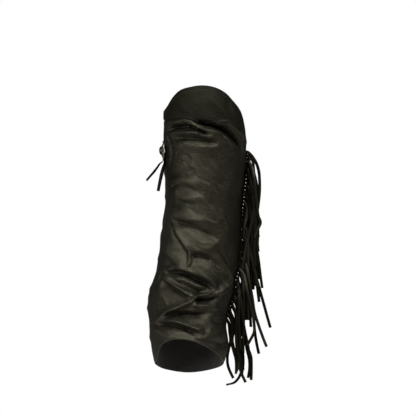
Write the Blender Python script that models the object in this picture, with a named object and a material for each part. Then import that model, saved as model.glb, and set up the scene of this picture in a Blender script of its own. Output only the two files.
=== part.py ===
"""A fringed half chap in black leather, in the form it has when worn on a leg.

Metres, +Z up. The front faces -Y and the fringed outer side faces +X. The origin is the middle of the leg just
below the knee, where the thong draws the leather tight.

The leather is one tube, read from a table of sections and a table of folds in millimetres. A place on the tube is
an angle (0 at the front, 90 at the outer side, 180 at the back) and a height. Each panel is a wall between two
seams, so its neighbours meet it a seam's gap away.
"""

import math

import bmesh
import bpy
import numpy as np

MM = 0.001
WALL = 1.8  # thickness of the leather
SEAM_GAP = 0.3
STEEPEST = 0.62  # cosine of the slope up to which the leather keeps its thickness
FOLD_RADIUS = 72.0  # turns an angle on the tube into a length, for measuring across folds

# Sections of the tube, top to bottom. The left is the inner side.
SECTIONS = (
    # height, left, right, front, back
    (120, -72, 58, -66, 58),
    (91, -73, 60, -71, 58),
    (55, -74, 63, -78, 60),
    (30, -73.5, 66.5, -79, 63),
    (0, -73, 70.5, -76, 68),
    (-18, -70.5, 70.5, -72, 72),
    (-44, -70.6, 68, -69, 79),
    (-75, -71.3, 64.5, -66, 86),
    (-110, -72, 60.5, -63, 89),
    (-140, -75.3, 58.5, -62, 86),
    (-165, -79.5, 57, -62, 82),
    (-195, -81.5, 55.5, -63, 77),
    (-222, -86.5, 53, -65, 72),
    (-246, -93.5, 49.5, -69, 69),
    (-272, -100.5, 44, -76, 67),
    (-294, -101, 37.5, -83, 67),
    (-316, -99.8, 34, -91, 68),
    (-341, -98, 37, -101, 71),
    (-359, -95.4, 39, -107, 76),
    (-380, -91, 34, -111, 81),
    (-411, -84, 22, -112, 86),
    (-440, -80, 15, -112, 88),
)

# The edge over the knee, cut lower behind it
TOP_EDGE = (
    # angle, height
    (-97, 41), (-63, 60), (-50, 73), (-36, 83.5), (-18, 89.5), (2, 92), (21, 88), (40, 77.5), (54, 65),
    (66, 54), (82, 38), (97, 18), (112, 1), (140, -10), (180, -16), (215, -8), (242, 16),
)
# The seam under the yoke, which droops over the kneecap
YOKE_SEAM = (
    # angle, height
    (-97, 35), (-77, 34.5), (-55, 34), (-20, 33), (-10, 28), (2, 25.5), (15, 26.5), (28, 28.5), (40, 27),
    (50, 19), (62, 11.5), (80, 5), (97, 0), (112, -6),
)
# The hem, arched over the instep and longer at the heel
HEM = (
    # angle, height
    (-97, -393), (-80, -388), (-63, -377), (-50, -358), (-38, -349.5), (-18, -343.5), (4, -345.5), (20, -353),
    (35, -362), (48, -370), (62, -379), (80, -388), (100, -395), (135, -406), (180, -413), (225, -406),
)
# The two seams down the leg
INNER_SEAM = (
    # height, angle
    (-440, -97), (-330, -97), (-285, -95), (-266, -80), (-246, -63), (-232, -56), (-214, -65), (-196, -80),
    (-170, -94), (-130, -97), (60, -97),
)
OUTER_SEAM = (
    # height, angle
    (-440, 97), (-300, 97), (-140, 98), (-60, 101), (-20, 106), (2, 112), (60, 112),
)

# Ridges (rise over 0) and troughs (rise under 0). Each runs through three places, as x and height seen from the
# front, from left to right or else from top to bottom. The reach is how far it falls away on its left hand (above
# it, when it runs from left to right) and on its right.
FRONT_FOLDS = (
    # x, height,  x, height,  x, height,  rise, reach above, reach below
    (34, 29, 53, 12, 67, -18, 3.0, 3.5, 4.0),
    (-20, 26, 24, 20, 63, -12, -6.0, 4.0, 5.0),
    (-60, 27, -42, 27, -24, 25, -2.5, 4.0, 4.0),
    (-22, 21, 6, 13, 36, 8, 4.5, 4.0, 5.0),
    (-66, 17, -30, 17, 2, 8, -4.5, 4.0, 4.0),
    (-62, 9, -30, 11, 0, 6, 4.0, 4.0, 4.5),
    (-46, 2, -10, 0, 12, 1, -3.0, 4.5, 4.5),
    (-56, -8, -24, -11, 6, -8, 3.0, 6.0, 9.0),
    (-68, 12, -60, -16, -62, -48, -3.0, 5.0, 4.0),
    (-67, -56, -44, -60, -18, -57, -3.0, 8.0, 7.0),
    (-60, -70, -38, -73, -14, -80, 2.5, 7.0, 6.0),
    (-62, -78, -41, -85, -12, -92, -2.5, 5.0, 6.0),
    (-57, -86, -43, -101, -8, -104, 3.0, 8.0, 6.0),
    (-66, -112, -42, -114, -18, -116, -3.0, 7.0, 7.0),
    (-62, -128, -40, -137, -6, -141, 3.5, 9.0, 5.5),
    (-52, -143, -20, -149, 18, -169, -5.0, 5.5, 7.0),
    (-60, -145, -44, -168, -27, -197, 5.0, 6.0, 5.0),
    (-66, -140, -50, -172, -30, -203, -4.0, 5.0, 6.0),
    (-38, -176, -10, -191, 16, -179, 4.5, 14.0, 6.0),
    (-28, -197, -28, -208, -30, -219, 3.5, 5.0, 4.5),
    (-24, -202, 0, -212, 29, -230, -5.0, 5.5, 6.0),
    (14, -158, 23, -167, 32, -175, 2.5, 6.0, 6.0),
    (12, -208, 31, -220, 45, -243, 3.5, 6.0, 4.5),
    (-22, -219, -2, -236, 15, -256, 4.5, 7.0, 5.0),
    (-70, -184, -56, -206, -36, -224, 5.0, 12.0, 6.0),
    (-70, -227, -28, -237, 12, -256, -8.0, 5.0, 6.0),
    (-60, -239, -28, -250, 4, -262, 2.5, 5.0, 4.5),
    (-72, -236, -50, -254, -20, -271, 6.0, 5.0, 4.5),
    (-74, -248, -58, -260, -28, -272, -5.0, 4.5, 6.0),
    (-22, -271, -5, -267, 12, -271, 5.0, 5.0, 4.0),
    (8, -272, 28, -263, 45, -244, 4.0, 9.0, 5.0),
    (-18, -276, 0, -278, 20, -273, -6.0, 4.0, 5.0),
    (-76, -306, -45, -288, -21, -276, 6.0, 7.0, 5.0),
    (-19, -270, -18, -279, -19, -287, 4.0, 4.5, 4.5),
    (-19, -286, 0, -288, 18, -293, 3.5, 5.0, 5.0),
    (-72, -305, -36, -299, 12, -302, -6.0, 4.5, 7.0),
    (-78, -310, -36, -317, -5, -331, 6.0, 7.0, 3.5),
    (-84, -318, -45, -322, -7, -333, -5.0, 3.5, 5.0),
    (-84, -324, -70, -334, -54, -343, 3.5, 5.0, 5.0),
    (-12, -343, 14, -352, 34, -351, -3.5, 5.0, 5.0),
    (2, -328, 17, -336, 33, -334, 3.0, 9.0, 9.0),
)
# The same on the back, as x seen through from the front
BACK_FOLDS = (
    # x, height,  x, height,  x, height,  rise, reach above, reach below
    (-50, -38, 0, -52, 48, -36, -3.5, 8.0, 8.0),
    (-48, -58, -4, -70, 46, -60, 3.0, 9.0, 9.0),
    (-58, -150, -20, -164, 30, -152, -3.0, 9.0, 9.0),
    (-62, -214, -22, -226, 22, -212, 5.0, 9.0, 7.0),
    (-66, -232, -24, -243, 26, -234, -5.5, 7.0, 8.0),
    (-76, -252, -40, -262, 10, -257, 5.5, 9.0, 7.0),
    (-78, -270, -36, -279, 14, -275, -5.0, 7.0, 8.0),
    (-80, -290, -34, -296, 16, -288, 5.0, 9.0, 7.0),
    (-78, -308, -36, -314, 12, -309, -4.5, 7.0, 8.0),
    (-72, -332, -30, -340, 18, -330, 4.0, 10.0, 9.0),
)
PATH_STEPS = 12
ROUNDING = 4.0  # widens every fold, so that no crease is sharper than the wall's rows
FOLD_DEPTH = 1.25  # scales every rise

# Rows and columns of the walls, closer where the leather stacks in folds
FRONT_ROWS = (
    # part of the panel's height, rows
    (0.13, 9), (0.37, 14), (0.50, 34),
)
FRONT_COLUMNS = (
    # part of the way round the panel, columns
    (0.10, 2), (0.66, 26), (0.24, 4),
)
YOKE_ROWS = ((1.0, 7),)
BACK_COLUMNS = ((1.0, 11),)

# The fringe: one strip cut into strands, its uncut edge held in the outer seam
ROOT_TOP = -20.5
ROOT_BOTTOM = -305.0
STRANDS = 46
STRAND_SHARE = 0.80  # of the pitch; the rest is the gap between two roots
STRIP_WIDTH = 6.5
STRIP_GAP = 0.5
LEATHER_THIN = 1.5
STRAND_LENGTH = 150.0
LENGTH_LOST = 0.5  # how much shorter each strand is than the one above it
STRAND_STEPS = (0, 3, 6, 9.5, 17, 34, 66, 106, 150)
ROOT_SLOPE = 10.0  # degrees below level at which a strand leaves the strip
HANG_SLOPE = 85.5  # and those to which it falls
FALL_LENGTH = 8.0
SPRINGY = 2  # the top strands stand out before they fall
TIP_FLARE = 2.5
TIP_LENGTH = 22.0
SWAY = 2.5
SWAY_LENGTH = 29.0
TURN = 18.0  # degrees by which the strands' faces turn outward, and how much that varies
TURN_VARIES = 13.0
# Strands hang in columns side by side across the fringe, so that neighbours part at once
COLUMNS = (
    # place, share of the splay
    (-2, 0.0), (0, 0.3), (2, 1.0), (-1, 0.1), (1, 0.45),
)
COLUMN_PITCH = 6.6
SPLAY = (
    # strand, degrees that it stands away
    (0, 0.0), (7, 2.0), (12, 4.5), (17, 7.0), (22, 9.6), (28, 12.6), (33, 11.0), (39, 4.0), (45, -1.0),
)

# The round fitting on the inner side and the thong tied through it
CONCHO_BASE = -73.1  # x of its flat back
CONCHO_SPOT = (-3.0, -19.0)  # y and height of its middle
CONCHO_PROFILE_FRONT = ((0.0, 5.6), (4.0, 5.3), (8.5, 4.3), (12.5, 2.9), (15.0, 1.9), (15.6, 2.5), (17.0, 2.5),
                        (18.0, 1.5), (18.0, 0.0))
CONCHO_PROFILE_BACK = ((16.8, 0.0), (12.5, 1.4), (8.5, 2.9), (4.0, 3.9), (0.0, 4.2))
CONCHO_SIDES = 28
SLOT_OFFSET = 6.2
SLOT_LENGTH = 7.6
SLOT_WIDTH = 3.0
SLOT_CUT = (-4.0, 10.0)  # the depths between which each slot's cutter reaches
THONG_WIDTH = 6.4
THONG_THICK = 1.7
# The thong over the fitting's bar, as distance from its back and height from its middle
LOOP_ROUTE = ((0.4, 6.2), (2.8, 6.2), (5.6, 6.2), (8.0, 4.6), (8.6, 1.2), (8.0, -2.4), (6.6, -5.2), (4.4, -6.2),
              (2.4, -6.2), (0.4, -6.2))
# The free ends, as x, y and height
THONG_BACK_ROUTE = ((-71.9, -3, -22), (-71.9, -3, -34), (-72.3, -3.5, -39.5), (-74.7, -5.5, -49), (-78.0, -8, -62),
                    (-80.8, -9.5, -75), (-83.6, -10, -89.5))
THONG_FRONT_ROUTE = ((-75.4, -5, -37.6), (-80.0, -6, -41), (-85.0, -7, -48), (-91.0, -8, -56), (-97.4, -8.5, -63.4),
                     (-104, -9, -71))


def clear_scene():
    for item in list(bpy.data.objects):
        bpy.data.objects.remove(item)


def material(name, colour, roughness, metallic=0.0):
    made = bpy.data.materials.new(name)
    made.use_nodes = True
    shader = made.node_tree.nodes["Principled BSDF"]
    shader.inputs["Base Color"].default_value = (*colour, 1.0)
    shader.inputs["Roughness"].default_value = roughness
    shader.inputs["Metallic"].default_value = metallic
    return made


def unit(vectors):
    return vectors / np.linalg.norm(vectors, axis=-1, keepdims=True)


def read_curve(rows, at):
    """Values of the smooth curve through rows of (key, value)."""
    keys, values = np.array(sorted(rows), float).T
    slopes = np.gradient(values, keys)
    spot = np.clip(np.searchsorted(keys, at) - 1, 0, len(keys) - 2)
    step = keys[spot + 1] - keys[spot]
    part = np.clip((at - keys[spot]) / step, 0.0, 1.0)
    start = (1 + 2 * part) * (1 - part) ** 2 * values[spot] + part * (1 - part) ** 2 * step * slopes[spot]
    end = part**2 * (3 - 2 * part) * values[spot + 1] - part**2 * (1 - part) * step * slopes[spot + 1]
    return start + end


def read_round(rows, angle):
    """The same for a closed line round the tube, whose rows cover one turn."""
    turns = [(key + turn, value) for turn in (-360, 0, 360) for key, value in rows]
    return read_curve(turns, angle)


def section(height):
    """Left, right, front and back of the tube at a height."""
    return [read_curve([(row[0], row[side]) for row in SECTIONS], height) for side in (1, 2, 3, 4)]


def angle_at(x, height, behind=False):
    """The angle on the tube of a place that is seen from the front."""
    left, right, _, _ = section(height)
    turn = math.degrees(math.asin(max(-0.98, min(0.98, (2 * x - left - right) / (right - left)))))
    return 180 - turn if behind else turn


def fold_path(row, behind):
    """The fold's line as points of (length round the tube, height)."""
    places = [(angle_at(x, z, behind), z) for x, z in zip(row[0:6:2], row[1:6:2])]
    start, middle, end = np.radians([[a, 0] for a, _ in places]) * FOLD_RADIUS + [[0, z] for _, z in places]
    bend = 2 * middle - (start + end) / 2
    t = np.linspace(0, 1, PATH_STEPS + 1)[:, None]
    return (1 - t) ** 2 * start + 2 * t * (1 - t) * bend + t**2 * end


def one_fold(spots, path, rise, left_reach, right_reach):
    """How far one fold moves each spot, given as (length round the tube, height)."""
    starts = path[:-1]
    runs = np.diff(path, axis=0)
    away = spots[:, None, :] - starts
    part = np.clip((away * runs).sum(-1) / (runs**2).sum(-1), 0, 1)
    gaps = away - part[..., None] * runs
    nearest = np.argmin((gaps**2).sum(-1), axis=1)
    picked = np.arange(len(spots))
    gap = gaps[picked, nearest]
    run = runs[nearest]
    on_left = run[:, 0] * gap[:, 1] - run[:, 1] * gap[:, 0] > 0
    reach = np.hypot(np.where(on_left, left_reach, right_reach), ROUNDING)
    along = (nearest + part[picked, nearest]) / len(runs)
    ends = 1 - (2 * along - 1) ** 4
    return FOLD_DEPTH * rise * ends * np.exp(-(gap**2).sum(-1) / reach**2)


def relief(angle, height):
    """How far the folds move each place out from the plain tube."""
    moved = np.zeros(angle.size)
    turn = (angle.ravel() + 180) % 360 - 180
    for folds, behind in ((FRONT_FOLDS, False), (BACK_FOLDS, True)):
        round_turn = turn % 360 if behind else turn
        spots = np.stack([np.radians(round_turn) * FOLD_RADIUS, height.ravel()], axis=-1)
        for row in folds:
            moved += one_fold(spots, fold_path(row, behind), *row[6:])
    return moved.reshape(angle.shape)


def outward(angle, height):
    """Level unit vectors that point straight out of the plain tube."""
    left, right, front, back = section(height)
    turn = np.radians(angle)
    across = (back - front) * np.sin(turn)
    ahead = (left - right) * np.cos(turn)
    return unit(np.stack([across, ahead, np.zeros(angle.shape)], axis=-1))


def surface(angle, height):
    """Points of the leather's outer face."""
    left, right, front, back = section(height)
    turn = np.radians(angle)
    x = (left + right) / 2 + (right - left) / 2 * np.sin(turn)
    y = (front + back) / 2 - (back - front) / 2 * np.cos(turn)
    plain = np.stack([x, y, height], axis=-1)
    return plain + relief(angle, height)[..., None] * outward(angle, height)


def facing(angle, height):
    """Unit normals of the outer face."""
    round_step = surface(angle + 0.5, height) - surface(angle - 0.5, height)
    up_step = surface(angle, height + 0.6) - surface(angle, height - 0.6)
    return unit(np.cross(round_step, up_step))


def zone_parts(zones):
    """Parts of a panel's height or width, 0 to 1, at which its rows or columns lie."""
    parts = [0.0]
    for share, count in zones:
        parts += [parts[-1] + share * (step + 1) / count for step in range(count)]
    return np.array(parts)


def add_object(name, points, faces, coat):
    """A mesh object from points in millimetres."""
    mesh = bpy.data.meshes.new(name)
    mesh.from_pydata([tuple(point) for point in np.asarray(points) * MM], [], faces)
    made = bmesh.new()
    made.from_mesh(mesh)
    bmesh.ops.recalc_face_normals(made, faces=made.faces)
    made.to_mesh(mesh)
    made.free()
    mesh.shade_smooth()
    mesh.set_sharp_from_angle(angle=math.radians(72))
    mesh.materials.append(coat)
    thing = bpy.data.objects.new(name, mesh)
    bpy.context.scene.collection.objects.link(thing)
    return thing


def add_wall(name, angle, height, coat):
    """A leather wall through a grid of places, rows running down and columns round."""
    outer = surface(angle, height)
    out = outward(angle, height)
    lean = (facing(angle, height) * out).sum(-1, keepdims=True)
    inner = outer - WALL / np.maximum(lean, STEEPEST) * out
    rows, columns = angle.shape
    points = np.concatenate([outer.reshape(-1, 3), inner.reshape(-1, 3)])
    outside = np.arange(rows * columns).reshape(rows, columns)
    shift = rows * columns
    faces = []
    for row in range(rows - 1):
        for column in range(columns - 1):
            quad = [(row, column), (row + 1, column), (row + 1, column + 1), (row, column + 1)]
            if np.linalg.norm(outer[quad[0]] - outer[quad[2]]) > np.linalg.norm(outer[quad[1]] - outer[quad[3]]):
                quad = quad[1:] + quad[:1]
            a, b, c, d = (outside[place] for place in quad)
            faces += [(a, b, c), (a, c, d)]
            faces += [(c + shift, b + shift, a + shift), (d + shift, c + shift, a + shift)]
    rim = [*outside[0, :-1], *outside[:-1, -1], *outside[-1, :0:-1], *outside[:0:-1, 0]]
    for here, there in zip(rim, rim[1:] + rim[:1]):
        faces.append((here, there, there + shift, here + shift))
    return add_object(name, points, [tuple(int(spot) for spot in face) for face in faces], coat)


def inner_seam(height):
    return read_curve(INNER_SEAM, height)


def outer_seam(height):
    return read_curve(OUTER_SEAM, height)


def panel_grid(across, down, top_line, bottom_line, first_seam, last_seam):
    """Places of a panel's rows and columns: its lines give a height at an angle, its seams an angle at a height."""
    half_gap = math.degrees(SEAM_GAP / 2 / FOLD_RADIUS)
    height = np.zeros((len(down), len(across)))
    for _ in range(8):
        first = first_seam(height[:, :1]) + half_gap
        last = last_seam(height[:, -1:]) - half_gap
        angle = first + across * (last - first)
        top = top_line(angle[:1])
        height = top + (bottom_line(angle[-1:]) - top) * down
    return angle, height


def front_grid():
    return panel_grid(
        zone_parts(FRONT_COLUMNS), zone_parts(FRONT_ROWS)[:, None],
        lambda angle: read_curve(YOKE_SEAM, angle) - SEAM_GAP / 2, lambda angle: read_round(HEM, angle),
        inner_seam, outer_seam,
    )


def yoke_grid():
    return panel_grid(
        zone_parts(FRONT_COLUMNS), zone_parts(YOKE_ROWS)[:, None],
        lambda angle: read_round(TOP_EDGE, angle), lambda angle: read_curve(YOKE_SEAM, angle) + SEAM_GAP / 2,
        inner_seam, outer_seam,
    )


def back_grid(front_height, yoke_height):
    """The back panel's rows meet the yoke's top and the front panel's rows at both seams."""
    parts = []
    for column in (-1, 0):
        rows = np.append(yoke_height[0, column], front_height[:, column])
        parts.append((rows[0] - rows) / (rows[0] - rows[-1]))
    across = zone_parts(BACK_COLUMNS)
    down = parts[0][:, None] + (parts[1] - parts[0])[:, None] * across
    return panel_grid(
        across, down,
        lambda angle: read_round(TOP_EDGE, angle), lambda angle: read_round(HEM, angle),
        outer_seam, lambda height: inner_seam(height) + 360,
    )


def ease(part):
    part = np.clip(part, 0, 1)
    return part * part * (3 - 2 * part)


def strap_rings(path, across, width, thick):
    """Four-cornered rings along a path; across is the way of the width at each point."""
    along = unit(np.gradient(path, axis=0))
    across = unit(across - (across * along).sum(-1, keepdims=True) * along)
    through = np.cross(along, across)
    corners = ((1, 1), (-1, 1), (-1, -1), (1, -1))
    return np.stack([path + a * width / 2 * across + b * thick / 2 * through for a, b in corners], axis=1)


def ring_faces(here, there):
    """Triangles between two rings. Opposite sides are cut along the same way, so that a thin twist never crosses."""
    faces = []
    for k in range(4):
        a, b, c, d = here[k], here[(k + 1) % 4], there[(k + 1) % 4], there[k]
        faces += [(a, b, c), (a, c, d)] if k < 2 else [(a, b, d), (b, c, d)]
    return faces


def strand_path(number, root, out, seam_y):
    """The middle line of one strand, from its root in the strip to its cut end. Strands keep to their columns,
    which follow the seam, and each hangs a little outside the next one down its column."""
    place, share = COLUMNS[number % len(COLUMNS)]
    length = (STRAND_LENGTH - LENGTH_LOST * number) * (1 + 0.03 * math.sin(2.3 * number))
    steps = np.array(STRAND_STEPS) * length / STRAND_STEPS[-1]
    springy = max(0, SPRINGY - number)
    hang = math.radians(HANG_SLOPE + 2.5 * springy - share * read_curve(SPLAY, number))
    start = math.radians(ROOT_SLOPE - 8 * springy)
    fine = np.linspace(0, length, 151)
    slope = hang - (hang - start) * np.exp(-fine / (FALL_LENGTH + 5 * springy))
    sideways = np.interp(steps, fine, np.append(0, np.cumsum(np.cos(slope[1:]) * fine[1])))
    drop = np.interp(steps, fine, np.append(0, np.cumsum(np.sin(slope[1:]) * fine[1])))
    if not springy:
        sideways += TIP_FLARE * (0.5 + 0.5 * math.sin(1.9 * number)) * ease((steps - length) / TIP_LENGTH + 1)
    height = root[2] - drop
    x = root[0] + sideways * out[0] + SWAY * ease(sideways / 24) * np.sin(height / SWAY_LENGTH)
    y = seam_y(height) + sideways * out[1] - place * COLUMN_PITCH * ease(steps / 16)
    return np.stack([x, y, height], axis=-1), steps


def strand_across(number, steps, out, ahead):
    """The way of a strand's width: up at its root, then level, then turned a little further."""
    up = np.array([0.0, 0.0, 1.0])
    lie = math.radians(TURN + TURN_VARIES * math.sin(1.3 * number + 0.5))
    turned = math.cos(lie) * ahead + math.sin(lie) * out
    first = ease(steps / 9)[:, None]
    second = ease((steps - 30) / 60)[:, None]
    return (1 - first) * up + first * ((1 - second) * ahead + second * turned)


def add_fringe(coat):
    """One strip with its strands growing from its outer edge."""
    pitch = (ROOT_TOP - ROOT_BOTTOM) / (STRANDS - 1)
    half = pitch * STRAND_SHARE / 2
    middles = [ROOT_TOP - pitch * number for number in range(STRANDS)]
    heights = np.array([edge for middle in middles for edge in (middle + half, middle - half)])
    seam = surface(outer_seam(heights), heights)
    out = outward(outer_seam(heights), heights)
    ahead = np.cross(out, [0, 0, 1])
    near = seam + STRIP_GAP * out
    far = near + STRIP_WIDTH * out
    thick = LEATHER_THIN / 2 * ahead

    def seam_y(at):
        return surface(outer_seam(at), at)[:, 1]

    points = np.stack([near + thick, near - thick, far - thick, far + thick], axis=1).reshape(-1, 3).tolist()
    faces = []
    for station in range(len(heights) - 1):
        here = [4 * station + k for k in range(4)]
        there = [spot + 4 for spot in here]
        sides = ring_faces(here, there)
        if station % 2 == 0:
            del sides[4:6]  # a strand grows here
        faces += sides
    last = 4 * (len(heights) - 1)
    faces += [(0, 1, 2, 3), (last + 3, last + 2, last + 1, last)]
    for number in range(STRANDS):
        upper, lower = 2 * number, 2 * number + 1
        root = (far[upper] + far[lower]) / 2
        away = unit((out[upper] + out[lower]) / 2)
        front = unit((ahead[upper] + ahead[lower]) / 2)
        path, steps = strand_path(number, root, away, seam_y)
        across = strand_across(number, steps, away, front)
        rings = strap_rings(path, across, 2 * half, LEATHER_THIN)
        ring = [4 * upper + 3, 4 * lower + 3, 4 * lower + 2, 4 * upper + 2]
        for corners in rings[1:]:
            next_ring = [len(points) + k for k in range(4)]
            points += corners.tolist()
            faces += ring_faces(ring, next_ring)
            ring = next_ring
        faces.append(tuple(reversed(ring)))
    return add_object("fringe", points, [tuple(face) for face in faces], coat)


def smooth_route(route, count):
    """Evenly spaced points along a smooth curve through a route's own points."""
    route = np.array(route, float)
    lengths = np.concatenate([[0], np.cumsum(np.linalg.norm(np.diff(route, axis=0), axis=1))])
    at = np.linspace(0, lengths[-1], count)
    return np.stack([read_curve(list(zip(lengths, column)), at) for column in route.T], axis=-1)


def add_strap(name, route, across, width, thick, count, coat):
    path = smooth_route(route, count)
    points = strap_rings(path, np.broadcast_to(np.array(across, float), path.shape), width, thick).reshape(-1, 3)
    rings = [[4 * ring + k for k in range(4)] for ring in range(count)]
    faces = [face for here, there in zip(rings, rings[1:]) for face in ring_faces(here, there)]
    faces += [tuple(reversed(rings[0])), tuple(rings[-1])]
    return add_object(name, points, faces, coat)


def add_concho(coat):
    """A domed disc, hollow behind, with two slots for the thong. Its local +Z points away from the leg."""
    profile = [*CONCHO_PROFILE_FRONT, *CONCHO_PROFILE_BACK]
    made = bmesh.new()
    line = [made.verts.new((radius * MM, 0, rise * MM)) for radius, rise in profile]
    edges = [made.edges.new(pair) for pair in zip(line, line[1:])]
    bmesh.ops.spin(made, geom=line + edges, cent=(0, 0, 0), axis=(0, 0, 1), angle=2 * math.pi,
                   steps=CONCHO_SIDES, use_merge=True)
    bmesh.ops.remove_doubles(made, verts=made.verts, dist=1e-6)
    bmesh.ops.recalc_face_normals(made, faces=made.faces)
    mesh = bpy.data.meshes.new("concho")
    made.to_mesh(mesh)
    made.free()
    mesh.shade_smooth()
    mesh.set_sharp_from_angle(angle=math.radians(40))
    mesh.materials.append(coat)
    concho = bpy.data.objects.new("concho", mesh)
    bpy.context.scene.collection.objects.link(concho)
    place_on_side(concho)
    for name, side in (("upper_slot", 1), ("lower_slot", -1)):
        bpy.ops.mesh.primitive_cube_add(size=1)
        cutter = bpy.context.object
        cutter.name = name
        cutter.hide_render = True
        cutter.display_type = "WIRE"
        cutter.dimensions = (SLOT_WIDTH * MM, SLOT_LENGTH * MM, (SLOT_CUT[1] - SLOT_CUT[0]) * MM)
        cutter.parent = concho
        cutter.location = (side * SLOT_OFFSET * MM, 0, (SLOT_CUT[0] + SLOT_CUT[1]) / 2 * MM)
        cut = concho.modifiers.new(name, "BOOLEAN")
        cut.operation = "DIFFERENCE"
        cut.object = cutter
    return concho


def place_on_side(thing):
    """Local +Z becomes the inner side's outward way, and local +X becomes up."""
    thing.location = (CONCHO_BASE * MM, CONCHO_SPOT[0] * MM, CONCHO_SPOT[1] * MM)
    thing.rotation_euler = (0, -math.pi / 2, 0)


def main():
    clear_scene()
    leather = material("black_leather", (0.016, 0.014, 0.011), 0.42)
    fringe_leather = material("black_fringe_leather", (0.014, 0.012, 0.009), 0.5)
    thong_leather = material("black_thong_leather", (0.013, 0.010, 0.008), 0.55)
    nickel = material("antique_nickel", (0.42, 0.40, 0.34), 0.32, 1.0)
    front = front_grid()
    yoke = yoke_grid()
    add_wall("front_panel", *front, leather)
    add_wall("yoke", *yoke, leather)
    add_wall("back_panel", *back_grid(front[1], yoke[1]), leather)
    add_fringe(fringe_leather)
    add_concho(nickel)
    loop = [(CONCHO_BASE - rise, CONCHO_SPOT[0], CONCHO_SPOT[1] + up) for rise, up in LOOP_ROUTE]
    add_strap("thong_loop", loop, (0, 1, 0), THONG_WIDTH, THONG_THICK, 13, thong_leather)
    add_strap("thong_back", THONG_BACK_ROUTE, (0, 1, 0), THONG_WIDTH, THONG_THICK, 12, thong_leather)
    add_strap("thong_front", THONG_FRONT_ROUTE, (0, 1, 0), THONG_WIDTH, THONG_THICK, 10, thong_leather)


main()
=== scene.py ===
"""A black leather fringed half chap in its worn form: panels, seams, stitching, fringe, thong and concho.

Metres, +Z up. The front faces -Y, the fringed outer side faces +X, and the origin is the middle of the leg
just below the knee. The leather's form is worked out in millimetres on one tube, where a place is an angle
(0 at the front, 90 at the outer side, 180 at the back) and a height.
"""

import math

import bpy
import numpy as np
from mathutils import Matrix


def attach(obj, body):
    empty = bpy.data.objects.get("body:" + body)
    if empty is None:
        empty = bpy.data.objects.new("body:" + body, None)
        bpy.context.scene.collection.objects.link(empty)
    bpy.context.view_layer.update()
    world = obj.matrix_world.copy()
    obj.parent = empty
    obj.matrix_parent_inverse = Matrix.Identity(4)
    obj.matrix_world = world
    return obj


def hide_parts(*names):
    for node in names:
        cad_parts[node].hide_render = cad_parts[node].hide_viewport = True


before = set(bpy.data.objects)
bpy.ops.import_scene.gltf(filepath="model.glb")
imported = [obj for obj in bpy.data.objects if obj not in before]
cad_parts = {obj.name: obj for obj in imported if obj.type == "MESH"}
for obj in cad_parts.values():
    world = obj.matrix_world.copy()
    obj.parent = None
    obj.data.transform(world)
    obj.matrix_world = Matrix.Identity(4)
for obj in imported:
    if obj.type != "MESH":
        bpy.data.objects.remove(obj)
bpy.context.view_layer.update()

MM = 0.001
FOLD_RADIUS = 72.0  # turns an angle on the tube into a length
COWHIDE = 1.8  # thickness of the panels
THIN_COWHIDE = 1.5  # and of the fringe
STEEPEST_LEAN = 0.7  # the cosine past which a leaning wall is made no thicker
ROLL_WIDTH = 1.2  # how far in from a cut its edge is rolled over
ROLL_DEPTH = 0.5
LAP = 5.5  # how far one panel runs under the next
YOKE_LAP_MORE = 2  # and how much further the front panel runs under the yoke
LAP_DROP = 2.0  # how deep a lapped edge lies
LAP_SLOPE = 4.0  # and how far before its neighbour's edge it begins to drop
STITCH_PITCH = 3.4
STITCH_GAP = 0.7
STITCH_BOW = 0.12
STITCH_LIFT = 0.15
THREAD_RADIUS = 0.3
SEAM_MARGIN = 2.6  # from a seam to its stitching
EDGE_MARGIN = 7.5  # and from the top edge and the hem
# From where to where the rows of stitching run: as angles round the edges and as heights down the seams
YOKE_STITCHES = (-96, 111)
EDGE_STITCHES = (-97, 263)
INNER_STITCHES = (26, -384)
OUTER_STITCHES = (-12, -388)
# Each panel's grid, as faces across and down, and its size in millimetres
FRONT_GRID = ((150, 290), (255, 385))
YOKE_GRID = ((110, 44), (255, 60))
BACK_GRID = ((84, 220), (210, 400))

# The camera, the light and the floor. Places and sizes are in metres, the lens and its sensor in millimetres.
CAMERA_PLACE = (0.0035, -4.0, -0.119)
CAMERA_LENS = 197.8
CAMERA_SENSOR = 36
ROOM_LIGHT = 0.08
LAMPS = (
    # name, place, aim, power, width, height
    ("ceiling_light", (-0.35, -1.7, 2.05), (0, 0, -0.2), 62, 0.7, 0.35),
    ("left_light", (-1.0, -0.95, -0.35), (-0.05, 0, -0.34), 8, 0.3, 0.3),
    ("right_light", (0.7, -0.6, 0.75), (0.03, 0, 0.05), 8.5, 0.3, 0.3),
)
FLOOR_RADIUS = 0.75
FLOOR_THICK = 0.02
FLOOR_LEVEL = -0.57

# The grain's pebbles, in millimetres, drawn coarser than they are so that they show
COWHIDE_PEBBLE = 2.1
FRINGE_PEBBLE = 1.4
WARM_SHEEN = "#fff8d6"  # the colour of the shine on the finished leather

# How a fold is shaped
WIDEST_SHARE = 0.98  # places nearer the tube's outline are read as if they lay here
LEAST_REACH = 1.5  # keeps the shortest flank from being a step
END_FULLNESS = 1.35  # a fold is full along its middle and dies away at its ends
END_TAPER = 1.6
CRISP_FALL = 1.4  # how fast a crisp crest falls away
CRISP_REACH = 1.8  # and in how many reaches it has all but gone
EVEN_CREST = 1.1  # the crest's radius at which a fold is half crisp and half soft
BACK_FROM = 125  # folds at the side whose middle is past this angle belong to the back

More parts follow.
